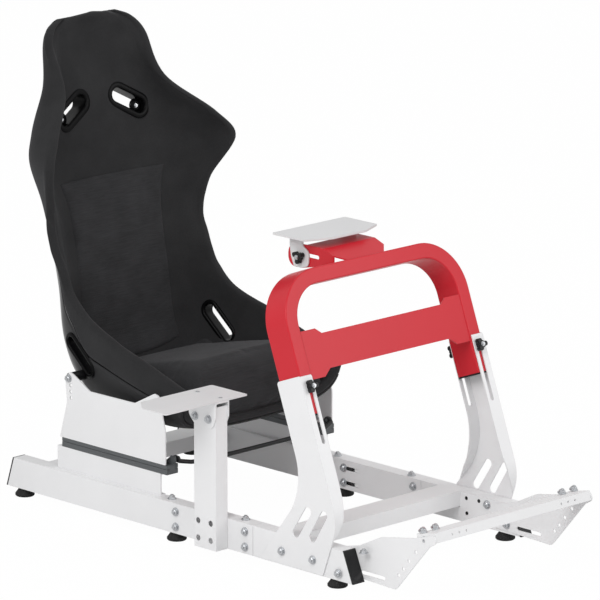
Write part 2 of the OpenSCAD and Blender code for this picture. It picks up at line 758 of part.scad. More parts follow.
// Folded cover that carries the wheel plate and stands on the hoop
hoop_top_rear = lean(hoop_rise, tube_h);
cover_top = 687;
cover_ridge = -281;
cover_front = lean(hoop_rise, 3);
cover_fall = (cover_top - cover_front[1]) / (cover_ridge - cover_front[0]);
module wheel_bracket() {
    cheek = [
        [hoop_top_rear[0], hoop_top_rear[1], 0],
        [swivel_y + 2, swivel_z - 27, 22], [swivel_y + 43, swivel_z - 27, 22],
        [swivel_y + 43, swivel_z + 25, 24], [-225, cover_top, 8], [cover_ridge, cover_top, 6],
        [cover_front[0], cover_front[1], 0], [cover_front[0], cover_front[1] - 12, 0]
    ];
    inside = cover_top - sheet_t;
    color(red) place() difference() {
        along_x(-bracket_half, bracket_half) polygon(rounded(cheek));
        // Folded sheet: open below and behind
        along_x(-bracket_half + sheet_t, bracket_half - sheet_t) polygon([
            [-150, swivel_z - 60], [-150, cover_top + 5], [-226, cover_top + 5],
            [-226, inside], [cover_ridge, inside],
            [cover_front[0] + 1, inside + cover_fall * (cover_front[0] + 1 - cover_ridge)],
            [cover_front[0] + 1, swivel_z - 60]
        ]);
        leaning() translate([-bracket_half - 1, -20, hoop_rise - 60])
            cube([2 * bracket_half + 2, tube_h + 20, 60]);
        along_x(-bracket_half - 1, bracket_half + 1)
            slot2d([-262, swivel_z + 5], [-236, swivel_z + 5], 9);
        pin_x(swivel_y, swivel_z, -bracket_half - 1, bracket_half + 1, 8.6);
        // Chamfered front corners
        for (side = [0, 1]) mirror([side, 0, 0])
            translate([bracket_half, cover_front[0], 640]) rotate([0, 0, 45])
                translate([-16, -16, 0]) cube([32, 32, 60]);
    }
}
tab_in = bracket_half + 0.5;
module wheel_plate() {
    t = 4;
    tab = [
        [-177, wheel_z - t, 0], [-177, 678, 4], [-181, 655, 0], [-190, 634, 0], [-212, 633, 12],
        [-236, 640, 12], [-238, 672, 14], [-218, 684, 6], [-218, wheel_z - t, 0]
    ];
    color([0.83, 0.83, 0.83]) place() {
        translate([0, 0, wheel_z - t]) linear_extrude(t) polygon(rounded([
            [-wheel_half, -152, 5], [-wheel_half, -254, 4], [-wheel_half + 61, -281, 3],
            [wheel_half - 61, -281, 3], [wheel_half, -254, 4], [wheel_half, -152, 5]
        ]));
        for (side = [-1, 1]) mirror([side < 0 ? 1 : 0, 0, 0]) difference() {
            along_x(tab_in, tab_in + sheet_t) polygon(rounded(tab));
            pin_x(swivel_y, swivel_z, tab_in - 1, tab_in + sheet_t + 1, 8.6);
        }
    }
}
module wheel_knobs() {
    x0 = tab_in + sheet_t + soft_gap;
    color(rubber) place() for (side = [-1, 1]) mirror([side < 0 ? 1 : 0, 0, 0])
        translate([x0, swivel_y, swivel_z]) rotate([0, 90, 0])
            knob(x0 - bracket_half + sheet_t + 2, 18);
}

// Gear lever post on the right beam
post_back = post_front - tube_h;
post_in = half_w + soft_gap;
post_top = 350;
module lever_post() {
    color(white) place() mirror([1, 0, 0]) difference() {
        translate([post_in, -post_front, beam_z]) cube([tube_w, tube_h, post_top - beam_z]);
        translate([post_in + tube_t, -post_front + tube_t, beam_z - 1])
            cube([tube_w - 2 * tube_t, tube_h - 2 * tube_t, post_top - beam_z + 2]);
        for (y = [-post_front + 18, -post_front + 58], z = [41, 81])
            pin_x(y, z, post_in + tube_w - tube_t - 1, post_in + tube_w + 1, 14);
    }
}
ear_out = post_in + tube_w + soft_gap;
module lever_bracket() {
    z1 = lever_z - sheet_t;
    ear = [
        [-100, z1, 0], [-101, 322, 16], [-124, 298, 14], [-176, 300, 14], [-187, 326, 16],
        [-187, z1, 0]
    ];
    color(white) place() mirror([1, 0, 0]) {
        difference() {
            union() {
                along_x(ear_out, ear_out + sheet_t) polygon(rounded(ear));
                along_x(post_in - soft_gap - sheet_t, post_in - soft_gap) polygon(rounded(ear));
            }
            for (y = [-121, -164]) pin_x(y, 321, post_in - 10, ear_out + 10, 8.4);
        }
        translate([post_in - soft_gap - sheet_t, -187, z1 - sheet_t])
            cube([ear_out - post_in + soft_gap + 2 * sheet_t, 87, sheet_t]);
    }
}
module lever_plate() {
    color([0.85, 0.85, 0.85]) place() mirror([1, 0, 0])
        translate([0, 0, lever_z - sheet_t]) difference() {
            linear_extrude(sheet_t) polygon(rounded([
                [222, -70, 6], [222, -187, 6], [lever_out, -187, 6], [lever_out, -112, 4],
                [lever_out - 34, -70, 4]
            ]));
            for (y = [-92, -166]) translate([286.5, y, -1])
                cylinder(h = sheet_t + 2, d = 6.5, $fn = 24);
        }
}

// Pedal deck: two cut plates on the inner faces of the beams and a folded bar between them
pivot = [-757, 149];
module pedal_plate(side) {
    outline = [
        [-500, 28, 6], [-500, 84, 6], [-560, 98, 30], [-627, 131, 30], [-731, 150, 20],
        [-790, 168, 8], [-pedal_tip, 150, 8], [-774, 138, 8], [-681, 30, 8], [-672, 22, 8]
    ];
    color(white) place() mirror([side < 0 ? 1 : 0, 0, 0]) difference() {
        along_x(inner_half - soft_gap - sheet_t, inner_half - soft_gap)
            polygon(rounded(outline));
        along_x(inner_half - 10, inner_half + 1) slot2d([-638, 40], [-572, 40], 9);
        for (p = [[-734, 119], [-713, 94.5], [-696.5, 73.5], [-682.5, 57]])
            pin_x(p[0], p[1], inner_half - 10, inner_half + 1, 8.4);
        pin_x(pivot[0], pivot[1], inner_half - 10, inner_half + 1, 8.4);
        pin_x(-537, 42, inner_half - 10, inner_half + 1, 8.4);
    }
}
bar_tilt = 12;
module pedal_bar() {
    w = inner_half - 2 * soft_gap - sheet_t;
    color(white) place() translate([0, -788, 172]) rotate([-bar_tilt, 0, 0]) difference() {
        translate([-w, 0, -pedal_bar_h]) cube([2 * w, pedal_bar_d, pedal_bar_h]);
        translate([-w + sheet_t, sheet_t, -pedal_bar_h - 1])
            cube([2 * w - 2 * sheet_t, pedal_bar_d - 2 * sheet_t, pedal_bar_h + 1 - sheet_t]);
        for (side = [-1, 1], x = [150, 172, 194]) translate([side * x, -1, -12])
            rotate([-90, 0, 0]) cylinder(h = 6, d = 5.5, $fn = 20);
    }
}

rear_beam(-1);  // rear_beam_right
rear_beam(1);  // rear_beam_left
front_beam(-1);  // front_beam_right
front_beam(1);  // front_beam_left
beam_splices();
beam_end_caps();
levelling_feet();
rear_crossbar();
front_crossbar();
seat_riser(-1);  // seat_riser_right
seat_riser(1);  // seat_riser_left
lower_rails();
upper_rails();
lock_bar();
seat_bracket(-1);  // seat_bracket_right
seat_bracket(1);  // seat_bracket_left
seat_spacers();
seat_shell();
seat_back_lining();
seat_base_lining();
seat_back_panel();
seat_base_cushion();
harness_bezels();
upright(-1);  // upright_right
upright(1);  // upright_left
hoop();
hoop_cross_plate();
hoop_leg_caps();
hoop_knobs();
wheel_bracket();
wheel_plate();
wheel_knobs();
lever_post();
lever_bracket();
lever_plate();
pedal_plate(-1);  // pedal_plate_right
pedal_plate(1);  // pedal_plate_left
pedal_bar();
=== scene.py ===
import math
from collections import namedtuple

import bmesh
import bpy
from mathutils import Matrix, Vector, noise


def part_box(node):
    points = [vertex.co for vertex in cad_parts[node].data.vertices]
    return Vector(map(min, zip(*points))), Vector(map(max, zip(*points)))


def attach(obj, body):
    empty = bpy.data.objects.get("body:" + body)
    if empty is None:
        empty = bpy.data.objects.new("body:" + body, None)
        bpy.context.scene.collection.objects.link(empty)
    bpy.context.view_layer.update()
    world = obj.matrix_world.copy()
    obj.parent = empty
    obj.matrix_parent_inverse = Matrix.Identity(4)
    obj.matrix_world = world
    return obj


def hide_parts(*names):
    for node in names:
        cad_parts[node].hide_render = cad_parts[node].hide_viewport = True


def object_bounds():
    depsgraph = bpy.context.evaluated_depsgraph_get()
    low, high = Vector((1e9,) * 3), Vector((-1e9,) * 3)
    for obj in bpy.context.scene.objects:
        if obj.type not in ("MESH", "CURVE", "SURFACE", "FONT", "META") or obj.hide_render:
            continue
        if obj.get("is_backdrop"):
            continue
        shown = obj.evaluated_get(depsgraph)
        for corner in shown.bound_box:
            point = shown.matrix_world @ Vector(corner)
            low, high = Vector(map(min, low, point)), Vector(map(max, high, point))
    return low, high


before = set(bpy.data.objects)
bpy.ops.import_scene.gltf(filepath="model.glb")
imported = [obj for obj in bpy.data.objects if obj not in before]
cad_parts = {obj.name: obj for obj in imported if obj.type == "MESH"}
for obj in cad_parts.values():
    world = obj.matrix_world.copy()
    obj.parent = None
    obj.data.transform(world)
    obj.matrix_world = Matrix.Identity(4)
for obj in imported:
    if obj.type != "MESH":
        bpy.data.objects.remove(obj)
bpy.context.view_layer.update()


# Where things are: the drawings of the cockpit count millimetres from the floor, from the plane
# midway between the two side beams and from the middle pair of feet.
feet_low, feet_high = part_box("levelling_feet")
middle = (feet_low + feet_high) / 2


def at(x, y, z):
    return Vector((middle.x + x / 1000, middle.y + y / 1000, z / 1000))


# Camera: a long lens from well in front of the driver's right, a little above the seat. It aims
# at a point between the seat and the hoop, from a distance in metres.
camera_azimuth = math.radians(-44.396)
camera_height = math.radians(13.71)
camera_distance = 12.58
camera_aim = at(66, -57, 507)
towards_camera = Vector((
    math.cos(camera_height) * math.sin(camera_azimuth),
    -math.cos(camera_height) * math.cos(camera_azimuth),
    math.sin(camera_height),
))
camera = bpy.data.objects.new("camera", bpy.data.cameras.new("camera"))
camera.data.sensor_width = 36
camera.data.lens = 334.04
camera.data.clip_end = 200
camera.location = camera_aim + camera_distance * towards_camera
camera.rotation_euler = towards_camera.to_track_quat("Z", "Y").to_euler()
bpy.context.scene.collection.objects.link(camera)
bpy.context.scene.camera = camera
bpy.context.scene.view_settings.view_transform = "Standard"


# Studio: an endless pale floor under a white sky, which the camera sees as plain white, and two
# round soft lamps, one high on the driver's right and a weaker one in front on the left.
# A finish is one material, and a wire is one value in it, so that maths reads as arithmetic.
class Wire:
    def __init__(self, finish, socket):
        self.finish = finish
        self.socket = socket

    def maths(self, operation, left, right):
        return self.finish.add("ShaderNodeMath", {"operation": operation}, {0: left, 1: right})

    def __add__(self, other):
        return self.maths("ADD", self, other)

    def __sub__(self, other):
        return self.maths("SUBTRACT", self, other)

    def __rsub__(self, other):
        return self.maths("SUBTRACT", other, self)

    def __mul__(self, other):
        return self.maths("MULTIPLY", self, other)

    __radd__ = __add__
    __rmul__ = __mul__


class Finish:
    def __init__(self, name):
        self.material = bpy.data.materials.new(name)
        self.material.use_nodes = True
        self.tree = self.material.node_tree
        self.tree.nodes.clear()

    def add(self, kind, settings=None, sockets=None, output=0):
        node = self.tree.nodes.new(kind)
        for key, value in (settings or {}).items():
            if key == "stops":
                for stop, (place, grey) in zip(node.color_ramp.elements, value):
                    stop.position = place
                    stop.color = (grey, grey, grey, 1)
            else:
                setattr(node, key, value)
        for key, value in (sockets or {}).items():
            if isinstance(value, Wire):
                self.tree.links.new(value.socket, node.inputs[key])
            else:
                node.inputs[key].default_value = value
        return Wire(self, node.outputs[output])

    def place(self, stretch=(1, 1, 1)):
        where = self.add("ShaderNodeTexCoord", output="Object")
        return self.add("ShaderNodeMapping", sockets={"Vector": where, "Scale": stretch})

    def grain(self, per_metre, detail=2, stretch=(1, 1, 1)):
        return self.add("ShaderNodeTexNoise", sockets={
            "Vector": self.place(stretch), "Scale": per_metre, "Detail": detail})

    def ramp(self, value, low, high):
        return self.add("ShaderNodeValToRGB", {"stops": [(low, 0), (high, 1)]}, {"Fac": value})

    def skin(self, strength, distance, height, edge=None):
        """A bump from a height, on a surface whose edges are rounded by a radius in metres."""
        sockets = {"Strength": strength, "Distance": distance, "Height": height}
        if edge:
            sockets["Normal"] = self.add("ShaderNodeBevel", {"samples": 4}, {"Radius": edge})
        return self.add("ShaderNodeBump", sockets=sockets)

    def tint(self, share, first, second):
        return self.add("ShaderNodeMix", {"data_type": "RGBA"},
                        {0: share, 6: first, 7: second}, output=2)

    def coat(self, **sockets):
        names = {key.replace("_", " ").title().replace("Ior", "IOR"): value
                 for key, value in sockets.items()}
        shader = self.add("ShaderNodeBsdfPrincipled", sockets=names)
        self.add_output(shader)
        return self.material

    def add_output(self, shader):
        end = self.tree.nodes.new("ShaderNodeOutputMaterial")
        self.tree.links.new(shader.socket, end.inputs["Surface"])


def colour(red, green, blue):
    """A screen colour, from 0 to 255, in the linear values that a shader takes."""
    def linear(level):
        share = level / 255
        return share / 12.92 if share <= 0.04045 else ((share + 0.055) / 1.055) ** 2.4
    return (linear(red), linear(green), linear(blue), 1)


floor_half = 40
floor_glow = 0.985
floor_mesh = bpy.data.meshes.new("floor")
floor_mesh.from_pydata(
    [(-floor_half, -floor_half, 0), (floor_half, -floor_half, 0),
     (floor_half, floor_half, 0), (-floor_half, floor_half, 0)], [], [(0, 1, 2, 3)])
floor = bpy.data.objects.new("floor", floor_mesh)
bpy.context.scene.collection.objects.link(floor)
pale = Finish("studio_floor")
seen = pale.add("ShaderNodeLightPath", output="Is Camera Ray")
lit = pale.add("ShaderNodeBsdfDiffuse", sockets={"Color": colour(238, 238, 238)})
white = pale.add("ShaderNodeEmission", sockets={"Color": (1, 1, 1, 1), "Strength": 1.0})
pale.add_output(pale.add("ShaderNodeMixShader", sockets={0: seen * floor_glow, 1: lit, 2: white}))
floor_mesh.materials.append(pale.material)
floor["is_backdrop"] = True


def grow(tree, kind, settings=None, sockets=None, output=0):
    """A node with its settings and sockets, where a list links several values to one socket."""
    node = tree.nodes.new(kind)
    for key, value in (settings or {}).items():
        setattr(node, key, value)
    for key, value in (sockets or {}).items():
        for one in value if isinstance(value, list) else [value]:
            if isinstance(one, bpy.types.NodeSocket):
                tree.links.new(one, node.inputs[key])
            else:
                node.inputs[key].default_value = one
    return node.outputs[output]


sky_level = 0.83
world = bpy.data.worlds.new("studio")
bpy.context.scene.world = world
world.use_nodes = True
sky = world.node_tree
sky.nodes.clear()
path = sky.nodes.new("ShaderNodeLightPath").outputs
direct = grow(sky, "ShaderNodeMath", {"operation": "MAXIMUM"},
              {0: path["Is Camera Ray"], 1: path["Is Transmission Ray"]})
plain = grow(sky, "ShaderNodeMath", {"operation": "MAXIMUM"},
             {0: direct, 1: path["Is Glossy Ray"]})
level = grow(sky, "ShaderNodeMapRange", output="Result",
             sockets={"Value": plain, "To Min": sky_level, "To Max": 1.0})
glow = grow(sky, "ShaderNodeBackground", sockets={"Strength": level})
sky_end = sky.nodes.new("ShaderNodeOutputWorld")
sky.links.new(glow, sky_end.inputs["Surface"])


def lamp(name, place, aim, size, power):
    light = bpy.data.lights.new(name, "AREA")
    light.shape = "DISK"
    light.size = size
    light.energy = power
    piece = bpy.data.objects.new(name, light)
    piece.location = place
    piece.rotation_euler = (place - aim).to_track_quat("Z", "Y").to_euler()
    bpy.context.scene.collection.objects.link(piece)


lamp_aim = at(0, 0, 400)
lamp("key", at(-3900, -1300, 3700), lamp_aim, size=3.0, power=106)
lamp("fill", at(2500, -4500, 2500), lamp_aim, size=3.0, power=60)


# Side beams, splices and crossbars: 70 x 35 mm steel tube, cut, drilled and powder coated white.
# The coat is thick enough to round every edge a little and to dry with a fine orange peel.
def shaded(shade, factor):
    return tuple(part * factor for part in shade[:3]) + (1,)


def powder_coat(name, shade, roughness, **more):
    coat = Finish(name)
    patch = coat.grain(7, 3)
    skin = coat.skin(0.12, 0.0004, coat.grain(900, 1), edge=0.0009)
    return coat.coat(
        base_color=coat.tint(coat.ramp(patch, 0.35, 0.65), shaded(shade, 0.965), shade),
        roughness=patch * 0.10 + (roughness - 0.05), normal=skin, **more)


white_paint = powder_coat("white_paint", colour(234, 234, 235), 0.42)


def dress(material, *nodes):
    for node in nodes:
        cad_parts[node].material_slots[0].material = material


dress(white_paint, "rear_beam_right", "rear_beam_left", "front_beam_right", "front_beam_left",
      "beam_splices", "rear_crossbar", "front_crossbar")


# Bolts of the frame: zinc plated hexagon heads on washers, each with the end of its thread.
# One tree sets them on points; an attribute of each point says which way the bolt looks out.
# The sizes of a bolt are in metres, and its parts are shares of its width or of its head.
def plated_steel():
    steel = Finish("steel")
    spangle = steel.grain(450, 3)
    return steel.coat(
        base_color=steel.tint(spangle, colour(172, 174, 177), colour(214, 216, 218)),
        roughness=spangle * 0.2 + 0.22, metallic=0.9,
        normal=steel.skin(0.15, 0.0002, steel.grain(2600, 2)))


steel = plated_steel()
bolt_tree = bpy.data.node_groups.new("hexagon bolts", "GeometryNodeTree")
bolt_tree.interface.new_socket("Geometry", in_out="INPUT", socket_type="NodeSocketGeometry")
for title, kind in (("Across", "NodeSocketFloat"), ("Head", "NodeSocketFloat"),
                    ("Washer", "NodeSocketFloat"), ("Stud", "NodeSocketFloat"),
                    ("Finish", "NodeSocketMaterial")):
    bolt_tree.interface.new_socket(title, in_out="INPUT", socket_type=kind)
bolt_tree.interface.new_socket("Geometry", in_out="OUTPUT", socket_type="NodeSocketGeometry")


def times(tree, value, factor):
    return grow(tree, "ShaderNodeMath", {"operation": "MULTIPLY"}, {0: value, 1: factor})


def drum(tree, sides, radius, depth, lift):
    solid = grow(tree, "GeometryNodeMeshCylinder", sockets={
        "Vertices": sides, "Radius": radius, "Depth": depth})
    shift = grow(tree, "ShaderNodeCombineXYZ", sockets={"Z": lift})
    return grow(tree, "GeometryNodeTransform", sockets={
        "Geometry": solid, "Translation": shift})


bolt_in = bolt_tree.nodes.new("NodeGroupInput")
across, head, washer, stud = (bolt_in.outputs[k] for k in ("Across", "Head", "Washer", "Stud"))
washer_share = 0.09
prism_share = 0.84
corner_share = 0.577
crown_low = 0.53
crown_top = 0.44
thread_share = 0.29
washer_t = times(bolt_tree, washer, washer_share)
head_mid = grow(bolt_tree, "ShaderNodeMath", {"operation": "ADD"},
                {0: washer_t, 1: times(bolt_tree, head, prism_share / 2)})
stud_mid = grow(bolt_tree, "ShaderNodeMath", {"operation": "ADD"}, {0: washer_t, 1: head})
crown = grow(bolt_tree, "GeometryNodeMeshCone", sockets={
    "Vertices": 24, "Radius Bottom": times(bolt_tree, across, crown_low),
    "Radius Top": times(bolt_tree, across, crown_top),
    "Depth": times(bolt_tree, head, 1 - prism_share)})
crown_up = grow(bolt_tree, "ShaderNodeCombineXYZ", sockets={
    "Z": times(bolt_tree, head, prism_share)})
washer_up = grow(bolt_tree, "ShaderNodeCombineXYZ", sockets={"Z": washer_t})
crown_set = grow(bolt_tree, "GeometryNodeTransform", sockets={
    "Geometry": grow(bolt_tree, "GeometryNodeTransform", sockets={
        "Geometry": crown, "Translation": crown_up}),
    "Translation": washer_up})
bolt_one = grow(bolt_tree, "GeometryNodeJoinGeometry", sockets={"Geometry": [
    drum(bolt_tree, 28, times(bolt_tree, washer, 0.5), washer_t,
         times(bolt_tree, washer, washer_share / 2)),
    drum(bolt_tree, 6, times(bolt_tree, across, corner_share),
         times(bolt_tree, head, prism_share), head_mid),
    crown_set,
    drum(bolt_tree, 16, times(bolt_tree, across, thread_share), stud, stud_mid),
]})
looks = grow(bolt_tree, "GeometryNodeInputNamedAttribute", {"data_type": "FLOAT_VECTOR"},
             {"Name": "axis"})
turned = grow(bolt_tree, "FunctionNodeAlignRotationToVector", {"axis": "Z"}, {"Vector": looks})
placed = grow(bolt_tree, "GeometryNodeInstanceOnPoints", sockets={
    "Points": bolt_in.outputs["Geometry"], "Instance": bolt_one, "Rotation": turned})
real = grow(bolt_tree, "GeometryNodeRealizeInstances", sockets={"Geometry": placed})
coated = grow(bolt_tree, "GeometryNodeSetMaterial", sockets={
    "Geometry": real, "Material": bolt_in.outputs["Finish"]})
bolt_out = bolt_tree.nodes.new("NodeGroupOutput")
bolt_tree.links.new(coated, bolt_out.inputs["Geometry"])


def settle(piece):
    """The evaluated piece as a plain mesh at the origin, without its modifiers."""
    bpy.context.view_layer.update()
    done = bpy.data.meshes.new_from_object(
        piece.evaluated_get(bpy.context.evaluated_depsgraph_get()))
    piece.modifiers.clear()
    piece.data = done
    return piece


def grown(name, tree, mesh, **inputs):
    piece = bpy.data.objects.new(name, mesh)
    bpy.context.scene.collection.objects.link(piece)
    modifier = piece.modifiers.new("made", "NODES")
    modifier.node_group = tree
    for item in tree.interface.items_tree:
        if item.in_out == "INPUT" and item.name in inputs:
            modifier[item.identifier] = inputs[item.name]
    return settle(piece)


def bolts(name, body, spots, across=0.013, head=0.006, washer=0.020, stud=0.005, finish=steel):
    mesh = bpy.data.meshes.new(name)
    mesh.from_pydata([at(*place) for place, _ in spots], [], [])
    axis = mesh.attributes.new("axis", "FLOAT_VECTOR", "POINT")
    for point, (_, direction) in zip(axis.data, spots):
        point.vector = direction
    piece = grown(name, bolt_tree, mesh, Across=across, Head=head, Washer=washer, Stud=stud,
                  Finish=finish)
    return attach(piece, body)


half_frame = 283
inner_frame = 248
beam_top = 90
top_line = 262
splice_bolts = ((-16, 71), (-16, 36), (-240, 71), (-240, 36))
top_bolts = (19, -220, -590)
inner_bolts = ((-365, 55), (-473, 75))
spots = []
for side in (-1, 1):
    for y, z in splice_bolts:
        spots.append(((side * half_frame, y, z), (side, 0, 0)))
        spots.append(((side * inner_frame, y, z), (-side, 0, 0)))
    for y in top_bolts:
        spots.append(((side * top_line, y, beam_top), (0, 0, 1)))
    for y, z in inner_bolts:
        spots.append(((side * inner_frame, y, z), (-side, 0, 0)))
bolts("frame_bolts", "frame", spots)


# End caps, feet and hole plugs: injection moulded plastic caps pressed into the tubes, rubber
# feet on threaded studs, and small plugs in the spare holes of the beams' inner faces. All have
# the dull, faintly pitted skin of their moulds.
def moulded(name, shade, roughness, pit, **more):
    cast = Finish(name)
    cloud = cast.grain(25, 3)
    skin = cast.skin(pit, 0.0004, cast.grain(1800, 2), edge=0.0008)
    return cast.coat(base_color=cast.tint(cloud, shade, shaded(shade, 1.25)),
                     roughness=cloud * 0.16 + (roughness - 0.08), normal=skin, **more)


black_plastic = moulded("black_plastic", colour(19, 19, 21), 0.36, 0.2, specular_ior_level=0.3)
rubber = moulded("rubber", colour(28, 28, 28), 0.7, 0.5, specular_ior_level=0.3)
dress(black_plastic, "beam_end_caps", "hoop_leg_caps")
dress(rubber, "levelling_feet")
spare_holes = ((-408, 77), (-447, 78), (-410, 42))
bolts("hole_plugs", "frame", [
    ((side * inner_frame, y, z), (-side, 0, 0)) for side in (-1, 1) for y, z in spare_holes],
    across=0.004, head=0.0006, washer=0.0085, stud=0.0006, finish=black_plastic)


# Seat risers, sliders and lock bar: folded sheet stands on the beams and carries pressed steel
# rails; the bent rod under the seat's front edge lifts to free them.
def drawn_steel(name, shade, roughness):
    rail = Finish(name)
    drawn = rail.grain(60, 3, (18, 0.6, 18))
    return rail.coat(base_color=rail.tint(drawn, shaded(shade, 0.72), shade), metallic=0.35,
                     roughness=drawn * 0.15 + (roughness - 0.07),
                     normal=rail.skin(0.2, 0.0004, drawn, edge=0.0006))


dark_rail = drawn_steel("dark_rail", colour(98, 101, 103), 0.45)
black_rod = drawn_steel("black_rod", colour(34, 34, 36), 0.38)
dress(white_paint, "seat_riser_right", "seat_riser_left")
dress(dark_rail, "lower_rails", "upper_rails")
dress(black_rod, "lock_bar")


# Cut and folded sheet: the laser leaves true arcs, which the construction holds as short flats,
# so each plate is copied, its corners are joined, and its arcs are shaded round.
arc_step = math.radians(24)


def round_shaded(node, material, body):
    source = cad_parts[node].data
    mesh = bpy.data.meshes.new(node + "_plate")
    mesh.from_pydata([v.co[:] for v in source.vertices], [],
                     [p.vertices[:] for p in source.polygons])
    shape = bmesh.new()
    shape.from_mesh(mesh)
    bmesh.ops.remove_doubles(shape, verts=shape.verts, dist=1e-6)
    shape.to_mesh(mesh)
    shape.free()
    mesh.shade_smooth()
    mesh.set_sharp_from_angle(angle=arc_step)
    mesh.materials.append(material)
    piece = bpy.data.objects.new(node + "_plate", mesh)
    bpy.context.scene.collection.objects.link(piece)
    even = piece.modifiers.new("even", "WEIGHTED_NORMAL")
    even.keep_sharp = True
    settle(piece)
    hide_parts(node)
    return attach(piece, body)


for node in ("seat_bracket_right", "seat_bracket_left"):
    round_shaded(node, white_paint, "seat")
for node in ("upright_right", "upright_left", "lever_bracket", "pedal_plate_right",
             "pedal_plate_left"):
    round_shaded(node, white_paint, "frame")
# The lever plate's coat is the white powder coat made a little darker, as painted shade on its top
# face.
lever_paint = powder_coat("lever_paint", colour(227, 227, 228), 0.5)
round_shaded("lever_plate", lever_paint, "frame")
dress(white_paint, "lever_post", "pedal_bar")
dress(black_rod, "seat_spacers")

bracket_face = 264
bracket_holes = ((359, 307.5), (66, 303))
bolts("seat_bolts", "seat", [
    ((side * bracket_face, y, z), (side, 0, 0)) for side in (-1, 1) for y, z in bracket_holes],
    washer=0.019)
upright_face = 286.5
upright_holes = ((-360, 52), (-457, 52), (-536, 38))
bolts("upright_bolts", "frame", [
    ((side * upright_face, y, z), (side, 0, 0)) for side in (-1, 1) for y, z in upright_holes])
ear_face = 321.6
ear_bolt_z = 321
bolts("lever_bolts", "frame", [((-ear_face, y, ear_bolt_z), (-1, 0, 0)) for y in (-121, -164)])
lever_screw_x = -286.5
lever_top = 363.2
bolts("lever_screws", "frame", [
    ((lever_screw_x, y, lever_top), (0, 0, 1)) for y in (-92, -166)],
    across=0.006, head=0.0012, washer=0.0105, stud=0.0005)


# Seat: a glass fibre bucket laid up in a mould, gloss black behind and dull on its sides, with
# foam and stretched fabric inside it. Bolts hold it between its two brackets.

# Its ribs from the lip to the head: the back of the shell on the centre plane (y, z), the edge
# of the wing (y, z), the half width and how full the side is.
seat_ribs = (
    (22, 224, -10, 330, 249, 1.8), (120, 204, 96, 366, 250, 1.7),
    (265, 204, 225, 405, 251, 1.3), (402, 222, 327, 441, 239, 1.3),
    (460, 306, 385, 486, 237, 1.2), (482, 450, 418, 546, 237, 0.7),
    (512, 590, 444, 612, 241, 0.4), (534, 685, 433, 692, 257, 0.6),
    (552, 785, 391, 785, 295, 1), (560, 848, 418, 846, 258, 1.5),
    (577, 935, 494, 935, 166, 2.4), (596, 1030, 546, 1030, 155, 1),
    (594, 1066, 566, 1068, 130, 1), (588, 1084, 579, 1086, 90, 1),
)
head_rib = len(seat_ribs) - 1
shell_t = 5
lining_t = 30

# How far round the bare shell shows at a rib, as a share of the way from the centre to the edge.
bare_share = ((0, 0.77), (2.6, 0.77), (3.6, 0.86), (5.6, 0.86), (7.4, 0.5), (13, 0.5))


def rib_at(s):
    """The rib at s, on a smooth curve through the given ones."""
    i = min(head_rib - 1, int(s))
    a, b, c, d = (seat_ribs[k] for k in (max(0, i - 1), i, i + 1, min(head_rib, i + 2)))
    t = s - i
    return [0.5 * (2 * q + (r - p) * t + (2 * p - 5 * q + 4 * r - u) * t * t
                   + (3 * q - p - 3 * r + u) * t ** 3) for p, q, r, u in zip(a, b, c, d)]


def rib_line(s):
    """A rib's back point, the direction to its wing's edge, its depth, half width and fullness."""
    back_y, back_z, edge_y, edge_z, half, full = rib_at(s)
    depth = math.hypot(edge_y - back_y, edge_z - back_z)
    run = ((edge_y - back_y) / depth, (edge_z - back_z) / depth)
    return (back_y, back_z), run, depth, half, full


def section(t, full):
    """How wide and how deep the seat is at t, as shares, from 0 on the centre to 1 at the edge."""
    a, b, c = 3 * t * (1 - t) ** 2, 3 * t * t * (1 - t), t ** 3
    return (a * (0.95 + 0.05 * full) + b * (0.8 + 0.12 * full) + c,
            b * (0.72 - 0.17 * full) + c)


def seat_point(s, inward, t, lift=0.0):
    """A point of the seat: inward from the shell's outer face, t across from -1 to 1."""
    back, run, depth, half, full = rib_line(s)
    wide, deep = section(abs(t), full)
    reach = inward + (depth - inward) * deep + lift
    return at(math.copysign((half - inward) * wide, t), back[0] + run[0] * reach,
              back[1] + run[1] * reach)


def formed(name, rows, faces, material):
    """A smooth piece of one material from rows of points, with its faces turned outwards."""
    mesh = bpy.data.meshes.new(name)
    mesh.from_pydata([point for row in rows for point in row], [], faces)
    shape = bmesh.new()
    shape.from_mesh(mesh)
    bmesh.ops.remove_doubles(shape, verts=shape.verts, dist=1e-6)
    bmesh.ops.recalc_face_normals(shape, faces=shape.faces)
    shape.to_mesh(mesh)
    shape.free()
    mesh.shade_smooth()
    mesh.materials.append(material)
    piece = bpy.data.objects.new(name, mesh)
    bpy.context.scene.collection.objects.link(piece)
    return piece


def belts(count, pairs):
    """Faces between rings of count points, where pairs says which rings follow each other."""
    return [(j * count + i, j * count + (i + 1) % count, k * count + (i + 1) % count, k * count + i)
            for j, k in pairs for i in range(count)]


def skinned(name, rows, material):
    """A closed piece through rows of points, each row a ring that mirrors itself."""
    count = len(rows[0])
    faces = belts(count, [(j, j + 1) for j in range(len(rows) - 1)])
    for base in (0, (len(rows) - 1) * count):
        for i in range(count // 2 - 1):
            faces.append((base + i, base + i + 1, base + count - 2 - i, base + count - 1 - i))
    return formed(name, rows, faces, material)


def shares(first, last, steps):
    return [first + (last - first) * i / steps for i in range(steps + 1)]


def mirrored(half):
    """Points (inward, t, lift) of one side, carried on over the centre plane to the other."""
    return [(inward, -t, lift) for inward, t, lift in reversed(half[1:])] + half


def seat_row(s, outer, inner):
    ring = mirrored(outer) + list(reversed(mirrored(inner)))
    return [seat_point(s, *point) for point in ring]


def shell_share(s):
    """How far round the seat the bare shell shows: less beside the shoulders than at the hips."""
    for (s0, share0), (s1, share1) in zip(bare_share, bare_share[1:]):
        if s <= s1:
            climb = (s - s0) / (s1 - s0)
            return share0 + (share1 - share0) * climb * climb * (3 - 2 * climb)
    return bare_share[-1][1]


